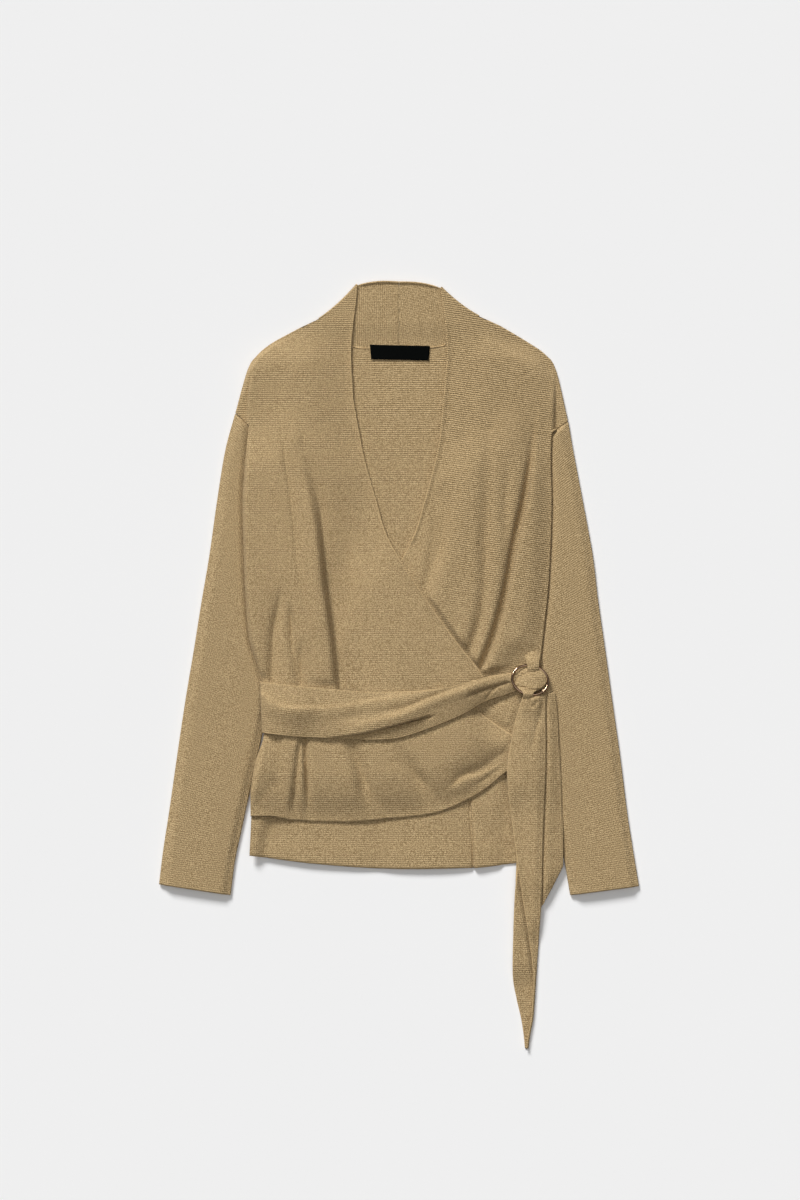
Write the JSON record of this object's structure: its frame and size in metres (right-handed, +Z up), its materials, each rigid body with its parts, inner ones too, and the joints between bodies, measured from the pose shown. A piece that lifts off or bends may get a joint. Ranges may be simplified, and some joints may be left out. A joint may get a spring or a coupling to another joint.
{
  "type": "wrap cardigan",
  "caption": "Fine-knit wrap cardigan with a grown-on shawl collar, laid flat, its sash drawn through a metal ring at the waist.",
  "frame": {"origin": "on the surface that the garment lies on, under the middle of its bounding box", "axes": "+Z up out of the surface, +Y from hem to collar, +X to the wearer's left"},
  "size_m": [0.528, 0.8433, 0.0249],
  "materials": {
    "knit": "fine rib knit, matt, camel beige",
    "label": "woven satin label, black, bare",
    "ring_metal": "polished gold-coloured metal"
  },
  "bodies": {
    "root": {"back_panel": "knit", "front_right": "knit", "front_left": "knit", "sleeve_right": "knit", "sleeve_left": "knit", "sash_waist": "knit", "sash_turn": "knit", "tail_long": "knit", "tail_short": "knit", "ring_tab": "knit", "neck_label": "label", "ring": "ring_metal"}
  },
  "joints": []
}
